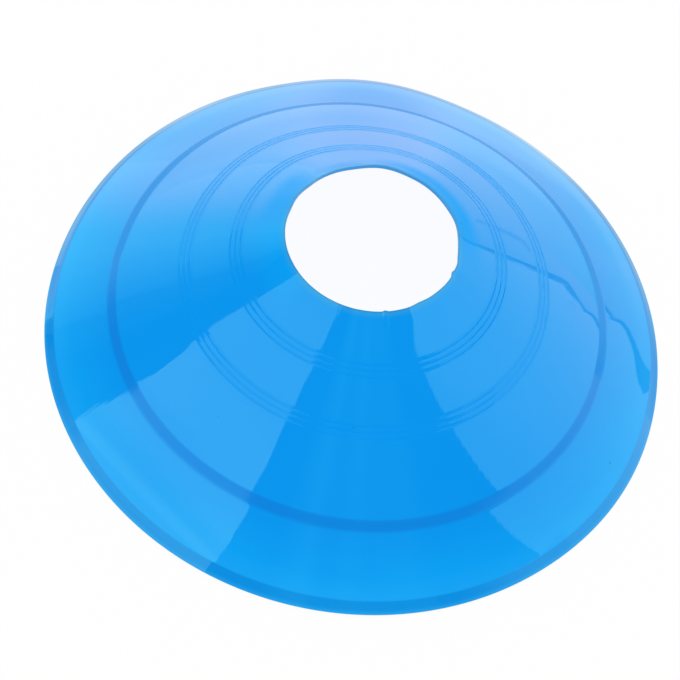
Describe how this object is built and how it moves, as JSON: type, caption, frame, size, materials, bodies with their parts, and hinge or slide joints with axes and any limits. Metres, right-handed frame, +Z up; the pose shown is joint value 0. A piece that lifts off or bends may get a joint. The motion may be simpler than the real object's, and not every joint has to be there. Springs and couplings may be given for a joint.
{
  "type": "sports marker cone",
  "caption": "Low saucer-shaped field marker, open at the top and underneath, with a step, a turned-down rim and fine grip lines.",
  "frame": {"origin": "centre of the rim's circle, on the ground plane that the marker stands on", "axes": "+Z up along the axis of revolution, towards the open top; X and Y lie in the ground plane"},
  "size_m": [0.19, 0.19, 0.0474],
  "materials": {
    "shell_plastic": "bright blue soft polyethylene, moulded glossy, slightly translucent"
  },
  "bodies": {
    "root": {"marker_shell": "shell_plastic"}
  },
  "joints": []
}
